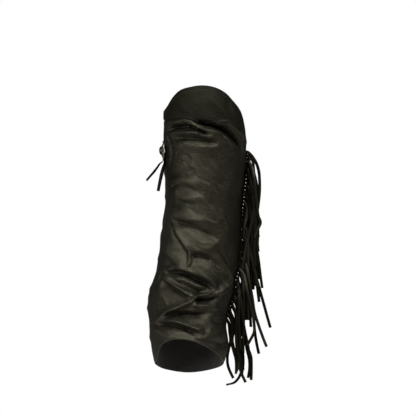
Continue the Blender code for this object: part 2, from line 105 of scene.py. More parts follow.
# The tube that the leather makes, top to bottom. The left is the inner side.
SECTIONS = (
    # height, left, right, front, back
    (120, -72, 58, -66, 58),
    (91, -73, 60, -71, 58),
    (55, -74, 63, -78, 60),
    (30, -73.5, 66.5, -79, 63),
    (0, -73, 70.5, -76, 68),
    (-18, -70.5, 70.5, -72, 72),
    (-44, -70.6, 68, -69, 79),
    (-75, -71.3, 64.5, -66, 86),
    (-110, -72, 60.5, -63, 89),
    (-140, -75.3, 58.5, -62, 86),
    (-165, -79.5, 57, -62, 82),
    (-195, -81.5, 55.5, -63, 77),
    (-222, -86.5, 53, -65, 72),
    (-246, -93.5, 49.5, -69, 69),
    (-272, -100.5, 44, -76, 67),
    (-294, -101, 37.5, -83, 67),
    (-316, -99.8, 34, -91, 68),
    (-341, -98, 37, -101, 71),
    (-359, -95.4, 39, -107, 76),
    (-380, -91, 34, -111, 81),
    (-411, -84, 22, -112, 86),
    (-440, -80, 15, -112, 88),
)

# The edge over the knee, cut lower behind it
TOP_EDGE = (
    # angle, height
    (-97, 41), (-63, 60), (-50, 73), (-36, 83.5), (-18, 89.5), (2, 92), (21, 88), (40, 77.5), (54, 65),
    (66, 54), (82, 38), (97, 18), (112, 1), (140, -10), (180, -16), (215, -8), (242, 16),
)
# The lower edge of the yoke, which droops over the kneecap
YOKE_SEAM = (
    # angle, height
    (-97, 35), (-77, 34.5), (-55, 34), (-20, 33), (-10, 28), (2, 25.5), (15, 26.5), (28, 28.5), (40, 27),
    (50, 19), (62, 11.5), (80, 5), (97, 0), (112, -6),
)
# The hem, arched over the instep and longer at the heel
HEM = (
    # angle, height
    (-97, -393), (-80, -388), (-63, -377), (-50, -358), (-38, -349.5), (-18, -343.5), (4, -345.5), (20, -353),
    (35, -362), (48, -370), (62, -379), (80, -388), (100, -395), (135, -406), (180, -413), (225, -406),
)
# The two seams down the leg
INNER_SEAM = (
    # height, angle
    (-440, -97), (-330, -97), (-285, -95), (-266, -80), (-246, -63), (-232, -56), (-214, -65), (-196, -80),
    (-170, -94), (-130, -97), (60, -97),
)
OUTER_SEAM = (
    # height, angle
    (-440, 97), (-300, 97), (-140, 98), (-60, 101), (-20, 106), (2, 112), (60, 112),
)

# Ridges (rise over 0) and troughs (rise under 0). Each runs through three places, as x and height seen from
# the front, from left to right or else from top to bottom. The reach is how far it falls away on its left
# hand (above it, when it runs from left to right) and on its right. The crest is the radius of its very top
# or bottom.
FRONT_FOLDS = (
    # x, height,  x, height,  x, height,  rise, reach above, reach below, crest
    (22, 27, 51, 20, 68, -8, 4.5, 3, 4, 1),
    (-14, 27, 32, 16, 65, -20, -10, 4, 5.5, 1.2),
    (4, 7, 32, 2, 54, -30, 2.4, 5, 12, 4),
    (-26, 21, 4, 15, 30, 11, 4.5, 3.5, 4.5, 1),
    (-66, 18, -33, 20, 4, 9, -9, 4.5, 4.5, 1.5),
    (-63, 9, -30, 10, 12, 4, 5, 4, 5, 0.9),
    (-54, 1, -14, -2, 24, -4, -3.5, 4.5, 5, 2),
    (-60, -8, -26, -12, 14, -15, 4, 6, 12, 3.5),
    (-66, 8, -61, -16, -63, -46, -2.2, 5, 4, 1.5),
    (-67, -56, -44, -60, -18, -57, -3, 8, 7, 4),
    (-60, -70, -38, -73, -14, -80, 2.5, 7, 6, 3),
    (-62, -78, -41, -85, -12, -92, -2.5, 5, 6, 3),
    (-57, -86, -43, -101, -8, -104, 3, 8, 6, 2.5),
    (-66, -112, -42, -114, -18, -116, -3, 7, 7, 4),
    (-62, -128, -40, -137, -6, -141, 3.5, 9, 5.5, 2),
    (-56, -143, -20, -154, 14, -171, -5.5, 6, 7, 2),
    (-60, -145, -45, -168, -27, -197, 4, 6, 6, 2),
    (-66, -140, -50, -172, -30, -203, -2.8, 5, 6, 2.5),
    (-38, -176, -10, -191, 16, -179, 3, 13, 7, 3.5),
    (-28, -197, -28, -208, -30, -219, 3.5, 5, 4.5, 1.5),
    (-24, -200, 4, -205, 31, -222, -5.5, 4, 9, 2.2),
    (12, -208, 31, -220, 45, -243, 3.5, 6, 4.5, 1.5),
    (-22, -219, -2, -236, 15, -256, 4.5, 7, 5, 1.2),
    (-70, -184, -56, -206, -36, -224, 5, 12, 6, 3),
    (-70, -224, -20, -230, 12, -256, 4, 6, 5, 1),
    (-66, -230, -26, -237, 11, -259, -6.5, 3, 4.5, 1.2),
    (-64, -241, -33, -256, 6, -264, -5, 4, 3, 1.2),
    (-54, -239, -24, -248, 2, -255, 2, 3, 3, 1.5),
    (-72, -236, -50, -254, -20, -271, 6, 5, 4.5, 0.8),
    (-74, -248, -58, -260, -28, -272, -5, 4.5, 6, 1.2),
    (-22, -271, -5, -267, 12, -263, 5, 4.5, 4, 0.8),
    (8, -272, 28, -263, 45, -244, 4, 9, 5, 2),
    (-18, -276, 0, -278, 20, -273, -6, 4, 5, 1),
    (-76, -306, -45, -288, -21, -276, 6, 7, 5, 0.9),
    (-19, -270, -18, -279, -19, -287, 4, 4.5, 4.5, 1.2),
    (-19, -286, 0, -288, 18, -293, 3.5, 5, 5, 1),
    (-73, -306, -40, -301, 0, -302, -8, 4.5, 7, 1.2),
    (-78, -310, -36, -317, -5, -331, 6, 7, 3.5, 0.8),
    (-86, -319, -52, -323, -15, -333, -5, 3, 5, 1),
    (-84, -324, -70, -334, -54, -343, 3.5, 5, 5, 1),
    (-12, -343, 14, -352, 34, -351, -3.5, 5, 5, 1.5),
    (2, -328, 17, -336, 33, -334, 3, 9, 9, 4),
)
# The same on the back, as x seen through from the front
BACK_FOLDS = (
    # x, height,  x, height,  x, height,  rise, reach above, reach below, crest
    (-50, -38, 0, -52, 48, -36, -3.5, 8, 8, 2.5),
    (-48, -58, -4, -70, 46, -60, 3, 9, 9, 2.5),
    (-58, -150, -20, -164, 30, -152, -3, 9, 9, 3),
    (-62, -214, -22, -226, 22, -212, 5, 9, 7, 1.5),
    (-66, -232, -24, -243, 26, -234, -5.5, 7, 8, 1.5),
    (-76, -252, -40, -262, 10, -257, 5.5, 9, 7, 1.2),
    (-78, -270, -36, -279, 14, -275, -5, 7, 8, 1.5),
    (-80, -290, -34, -296, 16, -288, 5, 9, 7, 1.2),
    (-78, -308, -36, -314, 12, -309, -4.5, 7, 8, 1.5),
    (-72, -332, -30, -340, 18, -330, 4, 10, 9, 2),
)
FOLD_DEPTH = 1.4
BACK_DEPTH = 0.8  # the back stacks more softly
FOLD_TRAIL = 0.14  # how far each fold trails on past its two ends, as a share of its length
PATH_STEPS = 14
# Short creases and slack in the hide, in the same terms
SMALL_FOLDS = (
    (4, 74, 22, 54, 40, 31, 2.2, 7, 9, 4), (-48, 66, -40, 52, -22, 40, 0.9, 6, 6, 4),
    (-58, 50, -44, 44, -28, 46, -0.9, 4, 4, 3), (24, 84, 36, 68, 44, 52, -0.9, 4, 6, 3),
    (44, 60, 50, 44, 57, 30, 1, 5, 5, 3), (-60, 31, -50, 29, -38, 31, 1.2, 2, 2.5, 0.8),
    (-46, 30, -36, 27, -26, 28, -1, 2, 2, 0.8), (-36, 26, -26, 23, -14, 24, 1.1, 2, 2, 0.8),
    (-54, 24, -44, 21, -34, 22, 1, 2, 2.5, 0.8), (-40, -6, -26, -4, -12, -8, 1, 2.5, 2.5, 1.5),
    (-34, -14, -22, -16, -8, -22, 0.8, 2.5, 2.5, 1.5), (-14, -12, -2, -20, 8, -30, 0.7, 2.5, 2.5, 1.2),
    (2, -14, 12, -24, 20, -34, 0.6, 2.5, 2.5, 1.2), (-28, -28, -16, -36, -4, -40, 0.7, 2.5, 3, 1.2),
    (-50, -24, -36, -28, -24, -38, -0.8, 3, 3, 1.5), (-58, -36, -48, -42, -36, -42, 1, 3.5, 3.5, 2),
    (-10, -48, 4, -56, 14, -66, 0.7, 2.5, 2.5, 1.2), (10, -44, 22, -54, 30, -66, 0.6, 2.5, 2.5, 1.2),
    (-26, -62, -12, -68, 2, -72, -0.8, 2.5, 3, 1.5), (-2, -76, 10, -84, 20, -96, 0.8, 3, 3, 1.5),
    (18, -78, 30, -90, 38, -104, 0.7, 3, 3, 1.5), (-16, -96, -4, -106, 8, -112, 0.7, 2.5, 3, 1.2),
    (-50, -104, -38, -108, -26, -108, -1, 3, 3, 1.5), (6, -108, 18, -120, 26, -134, -0.8, 3, 3, 1.5),
    (-34, -120, -20, -126, -8, -132, -0.9, 3, 3, 1.5), (-8, -134, 6, -142, 22, -146, 0.9, 3, 3, 1.5),
    (24, -124, 34, -140, 38, -158, 1, 4, 4, 2), (-64, -154, -60, -168, -52, -180, 1, 3, 3, 1.5),
    (-18, -170, -6, -178, 8, -176, 0.8, 2.5, 2.5, 1.5), (-20, -182, -8, -190, 4, -192, -0.8, 2.5, 2.5, 1.2),
    (-58, -196, -48, -204, -42, -216, 1, 3, 3, 1.5), (20, -190, 32, -204, 40, -220, -1.2, 4, 4, 2),
    (-12, -222, 0, -228, 10, -238, 0.9, 2.5, 2.5, 1.2), (18, -234, 28, -246, 34, -258, -1, 3, 3, 1.5),
    (-64, -222, -56, -230, -44, -232, 1.2, 3, 3, 1.2), (-44, -246, -34, -250, -24, -258, -1, 2.5, 2.5, 1),
    (-84, -262, -74, -274, -68, -288, 1.2, 4, 4, 2), (-60, -268, -50, -274, -42, -284, 1, 2.5, 2.5, 1),
    (-34, -288, -24, -292, -8, -294, -1, 2.5, 2.5, 1), (2, -300, 14, -306, 26, -304, 1.2, 3, 3, 1.5),
    (10, -314, 22, -318, 32, -314, -1.2, 3.5, 3.5, 2), (-66, -300, -54, -308, -40, -308, 1, 2.5, 2.5, 1),
    (-88, -300, -84, -318, -86, -336, 1.2, 4, 4, 2), (-46, -326, -34, -332, -22, -330, 1, 2.5, 2.5, 1),
    (-72, -342, -60, -352, -50, -354, -1, 3, 3, 1.5), (-20, -338, -8, -342, 4, -340, 0.9, 2.5, 2.5, 1.2),
)
# Slack at the sides and behind, as an angle and a height in place of x and height
SIDE_FOLDS = (
    (-90, 14, -90, -22, -90, -62, 1.4, 14, 14, 8), (-112, -52, -98, -60, -84, -56, 1.8, 7, 6, 3),
    (-122, -92, -104, -101, -86, -96, 1.6, 7, 7, 3), (-126, -146, -106, -158, -88, -150, -1.8, 7, 6, 3),
    (-130, -196, -110, -212, -90, -204, 2.2, 7, 6, 2), (-128, -222, -108, -236, -88, -230, -2.2, 6, 6, 2),
    (-132, -246, -110, -262, -88, -258, 2.4, 7, 6, 2), (-126, -284, -106, -292, -84, -296, 2.4, 7, 6, 2),
    (-130, -304, -108, -318, -84, -314, -2.2, 6, 6, 2), (-128, -338, -108, -348, -86, -342, 2, 8, 7, 3),
    (86, -38, 104, -50, 126, -44, 1.8, 7, 7, 3), (88, -112, 106, -120, 128, -110, -1.5, 7, 7, 3),
    (84, -166, 102, -180, 124, -172, 1.8, 7, 6, 2), (86, -212, 104, -226, 128, -216, 2.2, 7, 6, 2),
    (84, -236, 102, -246, 126, -238, -2.2, 6, 6, 2), (84, -260, 104, -272, 130, -260, 2.2, 7, 6, 2),
    (82, -284, 102, -295, 126, -288, -2, 6, 6, 2), (84, -310, 104, -320, 128, -310, 2, 8, 7, 3),
    (128, -24, 150, -17, 172, -30, 1.4, 7, 7, 3), (192, -88, 214, -104, 238, -96, 1.6, 8, 7, 3),
    (136, -112, 160, -128, 188, -118, -1.5, 8, 8, 3), (184, -180, 208, -197, 232, -188, 1.8, 8, 7, 2),
    (130, -186, 150, -199, 170, -190, 1.8, 7, 7, 2), (150, -238, 176, -250, 196, -240, 1.8, 5, 5, 1.5),
    (176, -262, 198, -272, 216, -284, 1.8, 5, 5, 1.5), (140, -300, 158, -290, 182, -304, -1.6, 5, 5, 1.5),
    (198, -350, 220, -363, 242, -352, 1.8, 8, 8, 3), (128, -348, 156, -361, 182, -350, -1.5, 8, 8, 3),
)
# Slow unevenness of the hide, each row a wave in millimetres. It fades out before the middle of the back,
# where the waves from the two sides would not meet.
SLACK_END = 170  # degrees
SLACK_FADE = 20
SLACK = (
    # length round, height, start, rise
    (21, 34, 0.4, 0.42),
    (13, -41, 1.9, 0.34),
    (34, 17, 3.1, 0.40),
    (9.5, 15.5, 5.2, 0.20),
    (-16, 11, 2.2, 0.20),
    (7.3, -12.5, 0.9, 0.12),
)

# The fringe. Strands that show have a route of their own, as x and height; the rest hang between them.
ROOT_TOP = -20.5
ROOT_BOTTOM = -305.0
STRANDS = 46
STRAND_SHARE = 0.9  # a strand's width as a share of the pitch
STRAND_TAPER = 0.12  # the share of its width that it loses by its tip
STRAND_CUTS = 56  # bends along a strand
STRAND_TURN = 30  # degrees that a strand may be turned either way, and twisted along its length
STRAND_TWIST = 26
STRAND_DEPTH = 9  # how far strands lie before and behind one another
STRIP_WIDTH = 7.0
STRIP_SEWN = 3  # how much more of it is caught in the seam
STRIP_POINTS = 120
ROUTE_POINTS = 161
STRAND_FALLS = (0.03, 0.1, 0.25, 0.45, 0.65, 0.84, 1)  # places down a strand without a route of its own
STRAND_ROUTES = {
    0: (77, -23.5, 83, -30.5, 89, -41, 93, -54, 94.5, -70, 94.5, -91, 92, -115.5, 88.5, -143.5, 89.5, -170),
    1: (77, -31.5, 82, -36, 83.5, -45.5, 84.5, -56, 87.5, -68, 90, -82, 90, -105, 88.5, -131, 89, -168),
    2: (76, -38.5, 80.5, -47, 84, -63, 86.5, -87.5, 90, -114, 92, -133, 96, -144.5, 91, -156.5, 85, -171.5),
    3: (74.5, -44, 79, -56, 83, -79, 86.5, -105, 90, -131, 92, -157.5, 91, -187),
    4: (72.5, -50, 76, -63, 80.5, -87.5, 84, -115.5, 87.5, -147, 92, -196),
    5: (73.5, -57, 77, -70, 78.5, -96, 77.5, -126, 79.5, -147, 86, -159, 93.5, -170),
    6: (72.5, -63, 77, -77, 81.5, -105, 85, -136.5, 87.5, -168, 90, -206.5),
    7: (74, -67.5, 79, -81, 82.5, -105.5, 84, -131, 86, -160, 86, -191, 87.5, -222),
    8: (74, -74.5, 77.5, -88, 80, -114, 81, -148, 81.5, -182.5, 82.5, -211.5, 84, -229),
    9: (74, -82, 80, -95, 83.5, -114, 81, -140, 74.5, -170, 69, -195, 64.5, -222, 60.5, -240),
    10: (73, -88, 77.5, -102, 82.5, -126, 87, -157, 87.5, -191, 89.5, -217, 92, -244.5),
    11: (71, -96, 78, -110, 82, -133, 79.5, -157.5, 73.5, -180, 69, -205, 65.5, -233),
    12: (72, -100, 75.5, -114, 79, -139.5, 81, -174, 83.5, -205, 86, -234, 87.5, -256.5),
    13: (71.5, -107, 74, -122.5, 75.5, -153.5, 77.5, -187.5, 80.5, -222, 83, -249.5, 83.5, -263),
    14: (70, -113, 71, -133, 67, -154, 66.5, -169, 72.5, -181, 79, -203, 86, -232, 92, -258),
    15: (70, -121, 76, -136.5, 84, -164.5, 89, -189, 93, -213.5, 96, -238, 99, -260),
    16: (69.5, -126, 74, -143, 79, -174, 83.5, -205, 87.5, -229, 91, -260, 94.5, -277),
    17: (68, -133, 72.5, -149, 76, -175, 81.5, -213.5, 88.5, -247, 93.5, -284.5),
    18: (66.5, -140, 73, -152, 77.5, -184, 79, -227.5, 79, -271, 79, -310.5),
    19: (65.5, -147, 71, -159, 73.5, -192.5, 74, -236, 74, -280, 74.5, -316),
    20: (65, -153, 68.5, -168, 69.5, -201, 70, -245, 70, -285, 70.5, -316),
    21: (68.5, -158.5, 73, -174, 75.5, -205, 77.5, -234, 78, -268.5, 79, -294),
    22: (65, -165.5, 72, -172.5, 76, -187, 82, -220.5, 91.5, -252, 100, -282, 107.5, -309, 113.5, -330),
    23: (66, -170.5, 68.5, -187.5, 69.5, -217, 70.5, -251, 70.5, -285.5, 71.5, -311.5),
    24: (61, -177, 65.5, -192.5, 65.5, -227.5, 64.5, -266, 65, -306, 67.5, -339.5),
    25: (64.5, -184, 68, -201.5, 68.5, -234, 68, -268.5, 67, -297.5, 66, -321.5),
    26: (63.5, -191, 67, -208.5, 70.5, -239, 74, -273.5, 77.5, -304.5, 79, -328.5),
    27: (62.5, -198, 65.5, -215, 65.5, -246, 64.5, -277, 63.5, -308, 62.5, -332),
    28: (59.5, -203, 68, -215, 75, -245, 81, -275, 85, -301, 93, -327, 100, -346.5, 106.5, -363),
    29: (61.5, -210, 63.5, -227, 63.5, -260, 62.5, -294, 62, -325, 63.5, -345.5),
    30: (58, -215, 66.5, -227.5, 75, -259, 81, -289, 83.5, -311.5, 86, -338, 89, -357, 93, -375.5),
    31: (57, -222, 65, -234.5, 72.5, -266, 79.5, -294, 84, -318.5, 84, -338, 79, -348, 72.5, -359.5),
    34: (56, -243, 62, -262.5, 65.5, -297.5, 66.5, -336, 72, -362, 79, -380, 80, -399, 79.5, -422),
    35: (54, -250, 60.5, -269.5, 63, -306, 67.5, -341, 72, -367.5, 76.5, -388.5, 76.5, -402.5, 74, -418),
    37: (51.5, -262.5, 57, -280, 58.5, -315, 60.5, -350, 65, -376, 65.5, -395.5, 62.5, -414),
    39: (49, -275, 54, -292, 55, -324, 57, -359, 61, -388.5, 60.5, -411, 50, -425, 35.5, -429),
    41: (45.5, -287, 51.5, -303, 52.5, -332.5, 53.5, -360.5, 56.5, -381.5, 56, -399, 51.5, -409.5),
    43: (42, -299, 47, -311.5, 48.5, -332.5, 46, -350, 50.5, -371, 57, -392, 63, -411, 69.5, -425),
    44: (38.5, -304.5, 44, -315, 46, -332.5, 44, -350, 48, -367.5, 52.5, -385, 53, -406),
    45: (35, -310, 39.5, -320, 41.5, -336, 43, -352, 40, -366, 37.5, -380, 38.5, -395.5, 43, -408,
         48, -418),
}
# Strands that lie with their flat side to the front
FLAT_ON = (9, 10, 11, 12, 13, 14, 16, 17, 18, 19, 20, 21, 22, 24, 28, 30, 31, 34, 35, 43)
FLAT_TURN = 50  # degrees from the way that the strip faces
# How far those that cross over the rest lie in front of them
IN_FRONT = {2: 8, 9: 10, 14: 9, 19: 9, 28: 9, 31: 12}
STRIP_LEAN = 30  # degrees by which the strip trails behind the leg's side

# The round fitting on the inner side and the thong tied through it
PETALS = 12
PETAL_BAND = (2, 15)  # from and to, as radii
PETAL_DEPTH = 0.6
ROPE_TURNS = 36
ROPE_BAND = (15.4, 17.7)
ROPE_DEPTH = 0.4
CONCHO_BASE = -73.1
CONCHO_SPOT = (-3, -19)
CONCHO_SIDES = 144
CONCHO_FACE = (
    # radius, height over the back
    (18, 1.6), (17.5, 2.3), (16.6, 2.6), (15.7, 2.3), (15.1, 1.9), (14.3, 2.1), (13.2, 2.6), (11.6, 3.3),
    (9.8, 3.9), (7.8, 4.5), (5.6, 5), (3.2, 5.4), (1.2, 5.6),
)
CONCHO_HOLLOW = ((16.8, 0.1), (12.5, 1.4), (8.5, 2.9), (4, 3.9), (1.5, 4.1))
SLOT_OFFSET = 6.2
SLOT_SIZE = (3, 7.6, 14)
THONG_WIDTH = 6.4
THONG_THICK = 1.7
THONG_CUTS = 47
LOOP_ROUTE = (
    # rise over the concho's back, height from its middle
    (0.4, 6.2), (3, 6.4), (5.4, 6.2), (6.9, 4.2), (7.3, 1.2), (7.1, -2), (6.2, -4.6), (4.4, -6.2),
    (2.4, -6.3), (0.4, -6.2),
)
LOOP_THICK = 3.0  # where the lace lies doubled over the bar
THONG_BACK_ROUTE = (
    (-71.9, -3, -22), (-71.9, -3, -34), (-72.3, -3.5, -39.5), (-74.7, -5.5, -49), (-78, -8, -62),
    (-80.8, -9.5, -75), (-83.6, -10, -89.5),
)
THONG_FRONT_ROUTE = (
    (-75.4, -5, -37.6), (-80, -6, -41), (-85, -7, -48), (-91, -8, -56), (-97.4, -8.5, -63.4), (-104, -9, -71),
)


def linear(code):
    """A colour's hex code as linear red, green, blue and alpha."""
    parts = [int(code[k:k + 2], 16) / 255 for k in (1, 3, 5)]
    return (*[part / 12.92 if part <= 0.04045 else ((part + 0.055) / 1.055) ** 2.4 for part in parts], 1.0)


def feed(node, values):
    """Gives a node's inputs their values or links."""
    for name, value in dict(values).items():
        if isinstance(value, bpy.types.NodeSocket):
            node.id_data.links.new(value, node.inputs[name])
        else:
            node.inputs[name].default_value = value


def add_node(tree, kind, settings=(), links=()):
    """Adds a node, with its settings and its inputs' values or links."""
    node = tree.nodes.new(kind)
    for name, value in dict(settings).items():
        setattr(node, name, value)
    feed(node, links)
    return node


# Handling pieces


def deselect():
    for thing in bpy.context.selected_objects:
        thing.select_set(False)


def pick(thing):
    deselect()
    thing.select_set(True)
    bpy.context.view_layer.objects.active = thing


def edit_whole(step, **settings):
    """Runs one mesh operator on all of the active piece."""
    bpy.ops.object.mode_set(mode="EDIT")
    bpy.ops.mesh.select_all(action="SELECT")
    step(**settings)
    bpy.ops.object.mode_set(mode="OBJECT")


def finish_piece(thing, crease):
    """Turns a closed piece's faces outward and smooths it up to the crease angle."""
    pick(thing)
    edit_whole(bpy.ops.mesh.normals_make_consistent, inside=False)
    bpy.ops.object.shade_smooth_by_angle(angle=math.radians(crease))


def vertex_places(mesh):
    places = np.empty(len(mesh.vertices) * 3)
    mesh.vertices.foreach_get("co", places)
    return places.reshape(-1, 3)


def copy_laid(model, places):
    """A copy of a model with its vertices laid in places, in millimetres."""
    copy = model.copy()
    copy.data = model.data.copy()
    copy.data.vertices.foreach_set("co", (places * MM).ravel())
    bpy.context.scene.collection.objects.link(copy)
    return copy


def join_pieces(name, pieces):
    deselect()
    for piece in pieces:
        piece.select_set(True)
    bpy.context.view_layer.objects.active = pieces[0]
    bpy.ops.object.join()
    pieces[0].name = name
    return pieces[0]


# The camera and the light


def set_camera():
    """Level with the shin and four metres off, so that its lines stay nearly parallel."""
    bpy.ops.object.camera_add(location=CAMERA_PLACE, rotation=(math.pi / 2, 0, 0))
    camera = bpy.context.object
    camera.name = "camera"
    camera.data.lens = CAMERA_LENS
    camera.data.sensor_width = CAMERA_SENSOR
    bpy.context.scene.camera = camera


def set_light():
    """Three lamps in a dim room, which the camera sees as white."""
    world = bpy.data.worlds.new("studio")
    bpy.context.scene.world = world
    world.use_nodes = True
    tree = world.node_tree
    tree.nodes.clear()
    seen = add_node(tree, "ShaderNodeLightPath")
    room = add_node(tree, "ShaderNodeBackground", links={"Color": linear("#f4f1ea"), "Strength": ROOM_LIGHT})
    white = add_node(tree, "ShaderNodeBackground", links={"Color": linear("#ffffff"), "Strength": 1.0})
    mix = add_node(tree, "ShaderNodeMixShader",
                   links={0: seen.outputs["Is Camera Ray"], 1: room.outputs[0], 2: white.outputs[0]})
    add_node(tree, "ShaderNodeOutputWorld", links={"Surface": mix.outputs[0]})
    for name, place, aim, power, width, height in LAMPS:
        bpy.ops.object.light_add(type="AREA", location=place)
        lamp = bpy.context.object
        lamp.name = name
        lamp.data.shape = "RECTANGLE"
        lamp.data.size = width
        lamp.data.size_y = height
        lamp.data.energy = power
        away = np.array(place) - np.array(aim)
        flat = math.hypot(away[0], away[1])
        lamp.rotation_euler = (math.atan2(flat, away[2]), 0, math.atan2(away[1], away[0]) + math.pi / 2)
    bpy.context.scene.view_settings.view_transform = "Standard"
    bpy.context.scene.view_settings.look = "None"


def add_floor():
    bpy.ops.mesh.primitive_cylinder_add(vertices=128, radius=FLOOR_RADIUS, depth=FLOOR_THICK,
                                        location=(0, 0, FLOOR_LEVEL))
    floor = bpy.context.object
    floor.name = "floor"
    bpy.ops.object.transform_apply()
    paint = bpy.data.materials.new("matt_painted_board")
    paint.use_nodes = True
    feed(paint.node_tree.nodes["Principled BSDF"], {"Base Color": linear("#d9d6cf"), "Roughness": 0.9})
    floor.data.materials.append(paint)


# The finishes


def start_material(name):
    """A new material with its tree, its shader and its places on the object in metres."""
    made = bpy.data.materials.new(name)
    made.use_nodes = True
    tree = made.node_tree
    place = add_node(tree, "ShaderNodeTexCoord").outputs["Object"]
    return made, tree, tree.nodes["Principled BSDF"], place


def cell_grain(tree, place, pebble):
    """Height of a leather's grain: rounded pebbles of a size in millimetres, with narrow valleys between."""
    shift = add_node(tree, "ShaderNodeTexNoise", links={"Vector": place, "Scale": 420.0, "Detail": 2.0})
    moved = add_node(tree, "ShaderNodeVectorMath", {"operation": "MULTIPLY_ADD"},
                     {0: shift.outputs["Color"], 1: (0.0012, 0.0012, 0.0012), 2: place})
    cells = add_node(tree, "ShaderNodeTexVoronoi", {"feature": "DISTANCE_TO_EDGE"},
                     {"Vector": moved.outputs[0], "Scale": 1000 / pebble})
    return add_node(tree, "ShaderNodeMapRange", {"interpolation_type": "SMOOTHSTEP"},
                    {"Value": cells.outputs["Distance"], "From Min": 0.0, "From Max": 0.22}).outputs[0]


def break_creases(tree, place):
    """Height of the fine slanting creases that a soft hide shows where it is pulled over the shin."""
    turned = add_node(tree, "ShaderNodeMapping", {"vector_type": "TEXTURE"},
                      {"Vector": place, "Rotation": (0, math.radians(18), 0),
                       "Scale": (0.009, 0.009, 0.0029)})
    return add_node(tree, "ShaderNodeTexNoise",
                    links={"Vector": turned.outputs[0], "Scale": 1.0, "Detail": 3.0, "Roughness": 0.55,
                           "Distortion": 0.6}).outputs[0]


def black_cowhide(name, least_rough, shine):
    """Full-grain cowhide, drum-dyed black and lightly finished: a soft sheen on a fine pebble grain, a
    little browner and duller where the finish is thin. The pebbles are drawn at twice their size to show."""
    made, tree, shader, place = start_material(name)
    cloud = add_node(tree, "ShaderNodeTexNoise", links={"Vector": place, "Scale": 24.0, "Detail": 4.0})
    patch = add_node(tree, "ShaderNodeValToRGB", links={"Fac": cloud.outputs[0]})
    for stop, at, code in zip(patch.color_ramp.elements, (0.36, 0.66), ("#0c0c08", "#181710")):
        stop.position = at
        stop.color = linear(code)
    grain = cell_grain(tree, place, COWHIDE_PEBBLE)
    # Painted shade: the colour goes near black in the narrow valleys between the pebbles
    valley_shade = add_node(tree, "ShaderNodeMix", {"data_type": "RGBA"},
                      {0: grain, 6: linear("#080705"), 7: patch.outputs[0]})
    gloss = add_node(tree, "ShaderNodeMapRange",
                     links={"Value": cloud.outputs[0], "From Min": 0.3, "From Max": 0.7,
                            "To Min": least_rough, "To Max": least_rough + 0.12})
    slow = add_node(tree, "ShaderNodeBump",
                    links={"Strength": 1.0, "Distance": 0.0010, "Height": break_creases(tree, place)})
    fine = add_node(tree, "ShaderNodeBump",
                    links={"Strength": 0.7, "Distance": 0.0003, "Height": grain, "Normal": slow.outputs[0]})
    feed(shader, {"Base Color": valley_shade.outputs[2], "Roughness": gloss.outputs[0], "IOR": 1.5,
                  "Specular IOR Level": shine, "Specular Tint": linear(WARM_SHEEN),
                  "Normal": fine.outputs[0]})
    return made


def black_suede():
    """The flesh side of the same hide, dyed through: a short nap, quite dull and greyer than the grain."""
    made, tree, shader, place = start_material("dyed_flesh_side_suede")
    nap = add_node(tree, "ShaderNodeTexNoise",
                   links={"Vector": place, "Scale": 900.0, "Detail": 4.0, "Roughness": 0.7})
    shade = add_node(tree, "ShaderNodeValToRGB", links={"Fac": nap.outputs[0]})
    for stop, at, code in zip(shade.color_ramp.elements, (0.3, 0.75), ("#0f0e0c", "#211e1a")):
        stop.position = at
        stop.color = linear(code)
    bump = add_node(tree, "ShaderNodeBump",
                    links={"Strength": 0.6, "Distance": 0.0004, "Height": nap.outputs[0]})
    feed(shader, {"Base Color": shade.outputs[0], "Roughness": 0.95, "Sheen Weight": 0.15,
                  "Normal": bump.outputs[0]})
    return made


def fringe_cowhide():
    """Thin black cowhide cut into strands. Some strands shine and others are matt: the attribute finish is 0
    on the dullest and 1 on the brightest. It differs at random, as the finish is worn unevenly, and is raised
    on the strands that cross in front, a painted sheen where the light falls on them."""
    made, tree, shader, place = start_material("cut_black_fringe_cowhide")
    streak = add_node(tree, "ShaderNodeMapping", links={"Vector": place, "Scale": (260.0, 260.0, 40.0)})
    wear = add_node(tree, "ShaderNodeTexNoise",
                    links={"Vector": streak.outputs[0], "Scale": 1.0, "Detail": 3.0})
    shade = add_node(tree, "ShaderNodeValToRGB", links={"Fac": wear.outputs[0]})
    for stop, at, code in zip(shade.color_ramp.elements, (0.35, 0.75), ("#080806", "#14120d")):
        stop.position = at
        stop.color = linear(code)
    finish = add_node(tree, "ShaderNodeAttribute", {"attribute_name": "finish"})
    shine = add_node(tree, "ShaderNodeMapRange",
                     links={"Value": finish.outputs["Fac"], "To Min": 0.05, "To Max": 0.5})
    grain = cell_grain(tree, place, FRINGE_PEBBLE)
    bump = add_node(tree, "ShaderNodeBump", links={"Strength": 0.35, "Distance": 0.0002, "Height": grain})
    feed(shader, {"Base Color": shade.outputs[0], "Specular IOR Level": shine.outputs[0], "Roughness": 0.44,
                  "Specular Tint": linear(WARM_SHEEN), "Normal": bump.outputs[0]})
    return made


def latigo_thong():
    """Narrow black lace leather, waxed: darker and duller than the panels, with a trace of brown."""
    made, tree, shader, place = start_material("waxed_black_lace_leather")
    fibre = add_node(tree, "ShaderNodeTexNoise", links={"Vector": place, "Scale": 500.0, "Detail": 3.0})
    shade = add_node(tree, "ShaderNodeValToRGB", links={"Fac": fibre.outputs[0]})
    for stop, at, code in zip(shade.color_ramp.elements, (0.35, 0.8), ("#070504", "#17110b")):
        stop.position = at
        stop.color = linear(code)
    bump = add_node(tree, "ShaderNodeBump",
                    links={"Strength": 0.3, "Distance": 0.0002, "Height": fibre.outputs[0]})
    feed(shader, {"Base Color": shade.outputs[0], "Roughness": 0.6, "Specular IOR Level": 0.15,
                  "Normal": bump.outputs[0]})
    return made


def nylon_thread():
    """Bonded nylon thread, 0.6 mm thick: black, with the small sheen of its twist painted on as lighter
    bands.
    """
    made, tree, shader, place = start_material("bonded_black_nylon_thread")
    twist = add_node(tree, "ShaderNodeTexWave", {"bands_direction": "DIAGONAL"},
                     {"Vector": place, "Scale": 900.0, "Distortion": 0.5})
    # Painted sheen: lighter bands along the twist
    shade = add_node(tree, "ShaderNodeMix", {"data_type": "RGBA"},
                     {0: twist.outputs[1], 6: linear("#0c0b0a"), 7: linear("#25221d")})
    feed(shader, {"Base Color": shade.outputs[2], "Roughness": 0.4})
    return made


